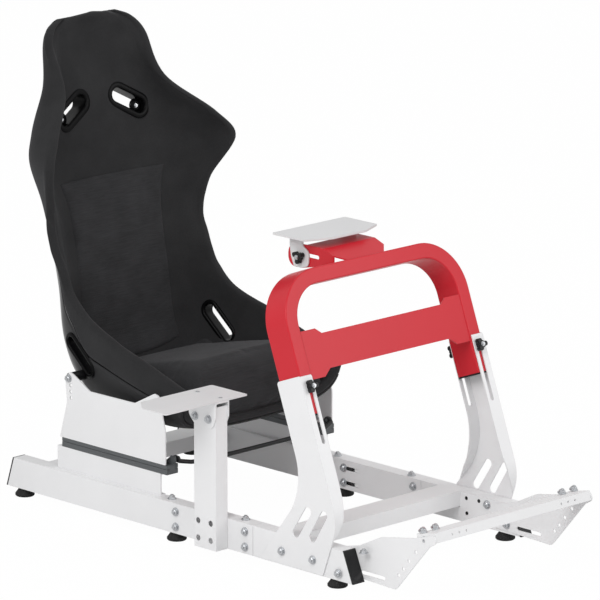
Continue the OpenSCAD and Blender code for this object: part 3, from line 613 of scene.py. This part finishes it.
def shell_row(s):
    half = shares(0, shell_share(s), 24)
    return seat_row(s, [(0, t, 0) for t in half], [(shell_t, t, 0) for t in half])


dull_to = 0.465
gloss_from = 0.50


def gelcoat():
    """Dull on the sides, and gloss from where the back begins, in metres from the origin."""
    shell = Finish("shell_gloss")
    where = shell.add("ShaderNodeSeparateXYZ", sockets={"Vector": shell.place()}, output="Y")
    behind = shell.ramp(where, dull_to, gloss_from)
    speckle = shell.grain(1500, 2)
    return shell.coat(
        base_color=shell.tint(speckle, colour(18, 18, 20), colour(26, 26, 28)),
        roughness=0.62 - behind * 0.5, specular_ior_level=0.45,
        normal=shell.skin(0.25, 0.0012, shell.grain(14, 1)))


shell_gloss = gelcoat()
shell = skinned("seat_shell_moulding", [shell_row(s) for s in shares(0, head_rib, head_rib * 8)],
                shell_gloss)


# Harness holes: belt slots through the back and the sides, each lined with a gloss black
# bezel of two halves that clamp the fabric and the shell between them.

# A hole's rib, its share across, its turn in degrees, and in millimetres how far the middles of
# its round ends lie apart, its width, its bezel's width and how far the bezel reaches behind.
Hole = namedtuple("Hole", "rib across turn length width rim collar")
shoulder_hole = Hole(9.38, 0.17, 61, 66, 32, 62, 15)
lap_hole = Hole(2.98, 0.71, 49, 75, 28, 50, 3)
cut_margin = 3.3
cut_reach = (-90, 60)


def seat_frame(s, t):
    """The axes of a hole: x and y in the seat's surface, z looking into the seat."""
    across = seat_point(s, lining_t, t + 0.02) - seat_point(s, lining_t, t - 0.02)
    along = seat_point(s + 0.05, lining_t, t) - seat_point(s - 0.05, lining_t, t)
    out = across.cross(along).normalized()
    turn = Matrix.Rotation(math.atan2(out.y, out.x), 4, "Z")
    tip = Matrix.Rotation(math.acos(out.z), 4, "Y")
    return Matrix.Translation(seat_point(s, lining_t, t)) @ turn @ tip


def hole_frames():
    """Each hole with its axes, on the left and, mirrored, on the right."""
    flip = (Matrix.Translation((middle.x, 0, 0)) @ Matrix.Scale(-1, 4, (1, 0, 0))
            @ Matrix.Translation((-middle.x, 0, 0)))
    for side in (1, -1):
        for hole in (shoulder_hole, lap_hole):
            turn = Matrix.Rotation(math.radians(hole.turn), 4, "Z")
            place = seat_frame(hole.rib, hole.across) @ turn
            yield hole, place if side > 0 else flip @ place


def stadium(length, width, steps=12):
    """A slot's outline, as points with the direction that looks out of it."""
    for end in (1, -1):
        for i in range(steps + 1):
            a = math.pi * (i / steps - 0.5) + (0 if end > 0 else math.pi)
            look = Vector((math.cos(a), math.sin(a), 0))
            yield Vector((end * length / 2, 0, 0)) + look * width / 2, look


def slot_rings(hole, place, profile):
    """Rings of a slot's wall: profile gives (distance outside the opening, height)."""
    return [[place @ ((p + look * out + Vector((0, 0, height))) / 1000)
             for p, look in stadium(hole.length, hole.width)] for out, height in profile]


def wall_at(hole):
    """How thick the seat is at a hole, in millimetres."""
    look = seat_frame(hole.rib, hole.across).to_3x3() @ Vector((0, 0, 1))
    skin = seat_point(hole.rib, lining_t, hole.across) - seat_point(hole.rib, 0, hole.across)
    return skin.dot(look) * 1000


cutters = []
for hole, place in hole_frames():
    rings = slot_rings(hole, place, [(cut_margin, height) for height in cut_reach])
    cutters.append(skinned("cutter", rings, shell_gloss))


def pierced(piece):
    for cutter in cutters:
        cut = piece.modifiers.new("hole", "BOOLEAN")
        cut.operation = "DIFFERENCE"
        cut.solver = "EXACT"
        cut.object = cutter
    return settle(piece)


pierced(shell)
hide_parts("seat_shell")
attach(shell, "seat")

bezel_gloss = moulded("bezel_gloss", colour(9, 9, 10), 0.3, 0.06, specular_ior_level=0.08)


def looped(name, rings, material):
    """A closed tube of rings, the last of which meets the first."""
    pairs = [(j, (j + 1) % len(rings)) for j in range(len(rings))]
    return formed(name, rings, belts(len(rings[0]), pairs), material)


def joined(name, pieces):
    """Several pieces as one mesh."""
    with bpy.context.temp_override(active_object=pieces[0], object=pieces[0],
                                   selected_objects=pieces, selected_editable_objects=pieces):
        bpy.ops.object.join()
    pieces[0].name = name
    return pieces[0]


def bezel_profile(hole):
    """A bezel's section: (distance outside the opening, height), first inside, then behind."""
    back = -wall_at(hole)
    edge = back - hole.collar
    lip = (hole.rim - hole.width) / 2
    return [
        (0, back / 2), (0, -6), (0.1, -1.5), (0.8, 0.9), (2.2, 2.4), (4.2, 3.0),
        (lip * 0.6, 2.9), (lip - 2.6, 2.3), (lip - 1.0, 1.3), (lip - 0.2, 0), (lip, -1.9),
        (3, -1.9), (3, back + 1.9), (lip, back + 1.9), (lip - 0.2, back),
        (lip - 1.0, back - 1.3), (lip - 2.6, back - 2.3), (4.2, edge),
        (2.2, edge + 0.6), (0.8, edge + 2.1), (0.1, edge + 4.5), (0, edge + 9)]


# The shoulder bezels are screwed down at their lower ends, on a round land sunk in the slot:
# (radius, height) in millimetres.
land_profile = ((16.6, -4), (16.6, 0), (11, 0), (10, 1.4), (6.5, 1.4), (5.8, 0.2), (0.2, 0.2),
                (0.2, -4))
land_depth = 0.013
screw_proud = 0.0002
bezels = []
lands = []
screws = []
for hole, place in hole_frames():
    bezels.append(looped("bezel", slot_rings(hole, place, bezel_profile(hole)), bezel_gloss))
    if hole is shoulder_hole:
        ends = [place @ Vector((end * hole.length / 2000, 0, -land_depth)) for end in (1, -1)]
        low = min(ends, key=lambda p: p.z)
        out = (place.to_3x3() @ Vector((0, 0, 1))).normalized()
        turn = out.to_track_quat("Z", "Y").to_matrix().to_4x4()
        disc = [[low + turn @ (Vector((math.cos(a), math.sin(a), 0)) * radius / 1000
                               + Vector((0, 0, height / 1000)))
                 for a in (math.tau * i / 32 for i in range(32))]
                for radius, height in land_profile]
        lands.append(looped("land", disc, bezel_gloss))
        screws.append((low + out * screw_proud, out))
bezel_set = joined("harness_bezel_rings", bezels + lands)
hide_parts("harness_bezels")
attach(bezel_set, "seat")


def metres_to_mm(point):
    return ((point.x - middle.x) * 1000, (point.y - middle.y) * 1000, point.z * 1000)


bolts("bezel_screws", "seat", [(metres_to_mm(place), look) for place, look in screws],
      across=0.007, head=0.0026, washer=0.0095, stud=0.0012)


# Upholstery: foam pads covered with a close black velour that is stretched over the wings'
# edges and glued down on the outside of the shell.
def velour(name, low, high, stretch, lean):
    cloth = Finish(name)
    cloud = cloth.grain(16, 4)
    pile = cloth.grain(1100, 2)
    thread = cloth.grain(420, 2, stretch)
    mottle = cloud * 0.55 + thread * 0.45
    return cloth.coat(
        base_color=cloth.tint(cloth.ramp(mottle, 0.3, 0.72), low, high),
        roughness=0.97 - cloud * 0.08, specular_ior_level=0.15,
        normal=cloth.skin(0.55, 0.0009, pile * 0.5 + thread * lean),
        sheen_weight=0.12, sheen_roughness=0.5, sheen_tint=(0.6, 0.6, 0.62, 1))


seat_fabric = velour("seat_fabric", colour(36, 36, 37), colour(47, 47, 48), (1, 1, 1), 0.3)
panel_fabric = velour("panel_fabric", colour(40, 40, 41), colour(55, 55, 57), (0.06, 1, 1), 0.9)
edge_t = 21
edge_roll = 1.5
glue_t = 0.3
hem_t = 0.6
roll_start = math.radians(35)
roll_r = (edge_t + edge_roll) / (1 + math.cos(roll_start))
roll_lift = 16
hem_steps = (0.02, 0.032, 0.05)
wing_side = 0.93
foam_swell = 1.6
lining_seed = 3.7


def foam(s, t, seed):
    """How much the foam stands up or sinks, in millimetres: slower along the seat than across."""
    place = Vector((s * 1.6, t * 4.0, seed))
    return foam_swell * (noise.noise(place) + 0.5 * noise.noise(place * 2.3))


def foam_depth(t):
    """The pad thins towards the wing's edge, so that its corner is round."""
    thin = max(0, (t - 0.55) / 0.45)
    return lining_t - (lining_t - edge_t) * thin * thin


def lining_row(s):
    """The pad's ring at s: under the shell's edge, over the hem, round the wing and inside."""
    bare = shell_share(s)
    outer = [(shell_t + glue_t, t, 0) for t in shares(0, bare, 22)]
    outer += [(-hem_t, bare + hem_steps[0], 0), (-edge_roll, bare + hem_steps[1], 0)]
    outer += [(-edge_roll, t, 0) for t in shares(bare + hem_steps[2], wing_side, 10)]
    inner = [(foam_depth(t), t, 0) for t in shares(0, 1, 28)]
    for i in range(1, 10):
        b = roll_start + (math.pi - roll_start) * i / 10
        inner.append((edge_t - roll_r * (math.cos(roll_start) - math.cos(b)), 1,
                      roll_lift * (math.sin(b) - math.sin(roll_start))))
    points = []
    for inward, t, lift in mirrored(outer):
        points.append(seat_point(s, inward, t, lift))
    for inward, t, lift in reversed(mirrored(inner)):
        bulge = foam(s, t, lining_seed)
        points.append(seat_point(s, inward + (bulge if abs(t) < 1 else 0), t,
                                 lift + (bulge if abs(t) == 1 else 0)))
    return points


def rounded_end(rows, ahead, steps=5):
    """Rows that close a pad's end in a half round: ahead is how far the round reaches."""
    first, second = rows[0], rows[1]
    count = len(first)
    extra = []
    for k in range(1, steps + 1):
        a = math.pi / 2 * k / steps
        row = []
        for i, point in enumerate(first):
            mid = (point + first[count - 1 - i]) / 2
            along = (point - second[i]).normalized()
            row.append(mid + (point - mid) * max(0.02, math.cos(a)) + along * ahead * math.sin(a))
        extra.append(row)
    return list(reversed(extra)) + rows


pad_rows = [lining_row(s) for s in shares(0.12, 12.8, 118)]
lip_round = 0.013
head_round = 0.008
pad_rows = rounded_end(pad_rows, lip_round)
pad_rows = list(reversed(rounded_end(list(reversed(pad_rows)), head_round)))
upholstery = skinned("seat_upholstery", pad_rows, seat_fabric)
pierced(upholstery)
for cutter in cutters:
    bpy.data.objects.remove(cutter)
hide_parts("seat_back_lining", "seat_base_lining")
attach(upholstery, "seat")


# Back panel: a sewn-in insert of the same cloth with a crosswise thread, padded a little more
# than the foam around it and drawn in along two soft creases.
panel_start = 11 / 3
panel_end = 22 / 3
panel_side = 1 / 3
panel_rise = 8.0
panel_sink = 6
panel_seed = 9.1
crease_rows = (5.9, 6.83)
crease_sink = 1.5
crease_half = 0.035


def panel_row(s):
    top_fade = min(1, (panel_end - s) / 0.35)
    low_fade = min(1, (s - panel_start) / 0.2 + 0.35)
    fade = math.sin(math.pi / 2 * max(0, min(top_fade, low_fade)))
    over = []
    for u in shares(0, 1, 14):
        pull = sum(crease_sink * math.exp(-((s - place) / crease_half) ** 2) * max(0, 1 - u * 1.1)
                   for place in crease_rows)
        crown = (1 - u ** 6) ** 0.5 * (0.75 + 0.25 * math.cos(math.pi / 2 * u))
        rise = 0.6 + (panel_rise * crown - pull) * (0.25 + 0.75 * fade)
        rise += 0.8 * foam(s * 1.6, u, panel_seed) * crown
        over.append((lining_t + rise, u * panel_side, 0))
    under = [(lining_t - panel_sink, u * panel_side, 0) for u in shares(0, 1, 14)]
    return seat_row(s, under, over)


panel = skinned("seat_back_insert", [panel_row(s) for s in shares(panel_start, panel_end, 90)],
                panel_fabric)
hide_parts("seat_back_panel")
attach(panel, "seat")


# Base cushion: one thick foam pad between the bolsters, level at the front, where its cover
# rolls over the lip, and falling to the rear. The cover is pressed out by the foam inside it.
cushion_z = 381
cushion_level = 71
cushion_slope = 0.219
cushion_end = 10 / 3
cushion_side = 5 / 9
cushion_sink = 12


def cushion_row(s):
    back, run, depth, _, full = rib_line(s)
    floor_y = back[0] + run[0] * lining_t
    floor_z = back[1] + run[1] * lining_t
    fall = cushion_slope * max(0, floor_y - 0.3 * lining_t - cushion_level)
    rise = (cushion_z - fall - floor_z) / run[1]
    at_lip = 0.56 + 0.44 * math.sin(math.pi / 2 * min(1, s / 0.6))
    at_rear = 0.66 + 0.34 * math.sin(math.pi / 2 * min(1, (cushion_end - s) / 0.4))
    rise *= min(at_lip, at_rear)
    over = []
    for u in shares(0, 1, 12):
        t = u * cushion_side
        level = section(t, full)[1] * (depth - lining_t)
        over.append((lining_t, t, max(rise * (1 - u ** 8) - level, 0.5) - 1.5))
    under = [(lining_t - cushion_sink, u * cushion_side, 0) for u in shares(0, 1, 12)]
    return seat_row(s, under, over)


def stuffed(piece, voxel, reach, frames=20):
    """Presses a closed form out from inside, as foam does its cover, by no more than reach."""
    fine = piece.modifiers.new("even", "REMESH")
    fine.mode = "VOXEL"
    fine.voxel_size = voxel
    settle(piece)
    start = [v.co.copy() for v in piece.data.vertices]
    cloth = piece.modifiers.new("cover", "CLOTH")
    cloth.settings.quality = 6
    cloth.settings.mass = 0.3
    cloth.settings.tension_stiffness = 15
    cloth.settings.compression_stiffness = 15
    cloth.settings.use_pressure = True
    cloth.settings.uniform_pressure_force = 4
    cloth.settings.effector_weights.gravity = 0
    cloth.point_cache.frame_start = 1
    cloth.point_cache.frame_end = frames
    for step in range(1, frames + 1):
        bpy.context.scene.frame_set(step)
    settle(piece)
    for vertex, place in zip(piece.data.vertices, start):
        move = vertex.co - place
        if move.length > reach:
            vertex.co = place + move.normalized() * reach
    bpy.context.scene.frame_set(1)
    smooth = piece.modifiers.new("smooth", "SUBSURF")
    smooth.levels = smooth.render_levels = 1
    settle(piece)
    piece.data.shade_smooth()
    return piece


cushion = skinned("seat_cushion", [cushion_row(s) for s in shares(0.02, cushion_end, 34)],
                  panel_fabric)
stuffed(cushion, voxel=0.006, reach=0.005)
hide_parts("seat_base_cushion")
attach(cushion, "seat")


# Hoop: one rectangular steel tube bent over a former, with a cross plate between its legs and
# the folded cover that holds the wheel plate, all coated gloss red. It leans back from the
# driver's feet, and its legs slide in the uprights.
def red_coat():
    coat = Finish("red_paint")
    patch = coat.grain(6, 2)
    return coat.coat(
        base_color=coat.tint(patch, colour(196, 33, 45), colour(204, 39, 51)),
        roughness=patch * 0.06 + 0.3, normal=coat.skin(0.07, 0.0004, coat.grain(700, 1), 0.0009),
        specular_ior_level=0.25, coat_weight=0.06, coat_roughness=0.12)


red_paint = red_coat()
lean_angle = math.radians(20.5)
lean_y = -400.5
lean_z = 492.7
tube_h = 70
tube_w = 35
tube_corner = 3.2
hoop_leg = 124
bend_lead = 60
hoop_rise = 188
hoop_r = 119


def leaning(x, v, n):
    """A point of the hoop's own frame: v up along the legs, n back from their front face."""
    return at(x, lean_y + v * math.sin(lean_angle) + n * math.cos(lean_angle),
              lean_z + v * math.cos(lean_angle) - n * math.sin(lean_angle))


def hoop_path():
    """The tube's centre line with the direction that looks out of the bend."""
    mid = half_frame - tube_w / 2
    bend = hoop_r - tube_w / 2
    top = hoop_rise - hoop_r
    yield -mid, -hoop_leg, (-1, 0)
    yield -mid, top - bend_lead, (-1, 0)
    for side, start in ((-1, math.pi), (1, math.pi / 2)):
        for i in range(33):
            a = start - math.pi / 2 * i / 32
            yield (side * (half_frame - hoop_r) + bend * math.cos(a), top + bend * math.sin(a),
                   (math.cos(a), math.sin(a)))
    yield mid, top - bend_lead, (1, 0)
    yield mid, -hoop_leg, (1, 0)


def tube_section(width, depth, radius, steps=5):
    """A rounded rectangle: out from the tube's middle, and back from its front face."""
    for turn, (out, back) in enumerate(((1, 0), (1, 1), (-1, 1), (-1, 0))):
        for i in range(steps + 1):
            a = math.pi / 2 * (turn - 1 + i / steps)
            yield (out * (width / 2 - radius) + radius * math.cos(a),
                   (depth - radius if back else radius) + radius * math.sin(a))


rings = [[leaning(x + out * look[0], v + out * look[1], back)
          for out, back in tube_section(tube_w, tube_h, tube_corner)]
         for x, v, look in hoop_path()]
count = len(rings[0])
last = (len(rings) - 1) * count
faces = belts(count, [(j, j + 1) for j in range(len(rings) - 1)])
faces += [tuple(range(count)), tuple(range(last, last + count))]
tube = formed("hoop_tube", rings, faces, red_paint)
tube.data.set_sharp_from_angle(angle=math.radians(40))
weigh = tube.modifiers.new("even", "WEIGHTED_NORMAL")
weigh.keep_sharp = True
settle(tube)
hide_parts("hoop")
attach(tube, "hoop_frame")
dress(red_paint, "hoop_cross_plate")
round_shaded("wheel_bracket", red_paint, "hoop_frame")
# The wheel plate's coat is the white powder coat made darker, as painted shade on its top face.
plate_paint = powder_coat("plate_paint", colour(217, 217, 218), 0.5)
round_shaded("wheel_plate", plate_paint, "wheel_mount")


# Clamp knobs: three-lobed black plastic heads on studs, with a bright nut on each. Four clamp
# the hoop's legs in the uprights, and two hold the wheel plate at its tilt.
dress(black_plastic, "hoop_knobs", "wheel_knobs")
knob_t = 12.4
knob_v = -64
knob_lift = 3.8 + knob_t
wheel_knob_x = 80.5 + 3.3 + knob_t
forward = (leaning(0, 0, -1) - leaning(0, 0, 0)).normalized()
spots = []
for side in (-1, 1):
    for n, look in ((-knob_lift, forward), (tube_h + knob_lift, -forward)):
        place = leaning(side * (half_frame - tube_w / 2), knob_v, n)
        spots.append((metres_to_mm(place), look))
bolts("hoop_knob_nuts", "hoop_frame", spots, across=0.009, head=0.003, washer=0.011, stud=0.003)
bolts("wheel_knob_nuts", "wheel_mount", [
    ((side * wheel_knob_x, -212, 659), (side, 0, 0)) for side in (-1, 1)],
    across=0.009, head=0.003, washer=0.011, stud=0.003)


# Pedal deck bolts: zinc plated, as the frame's. They hold the plates inside the beams and the
# bar across the plates' front ends, each through one of a row of holes.
pedal_face = 244.7
plate_holes = ((-757, 149), (-537, 42))
bar_y = -745
bar_z = 166
bar_look = (0, -0.2079, 0.9781)
spots = [((side * pedal_face, y, z), (-side, 0, 0)) for side in (-1, 1) for y, z in plate_holes]
spots += [((side * x, bar_y, bar_z), bar_look) for side in (-1, 1) for x in (200, 238)]
bolts("pedal_bolts", "frame", spots)

low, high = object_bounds()
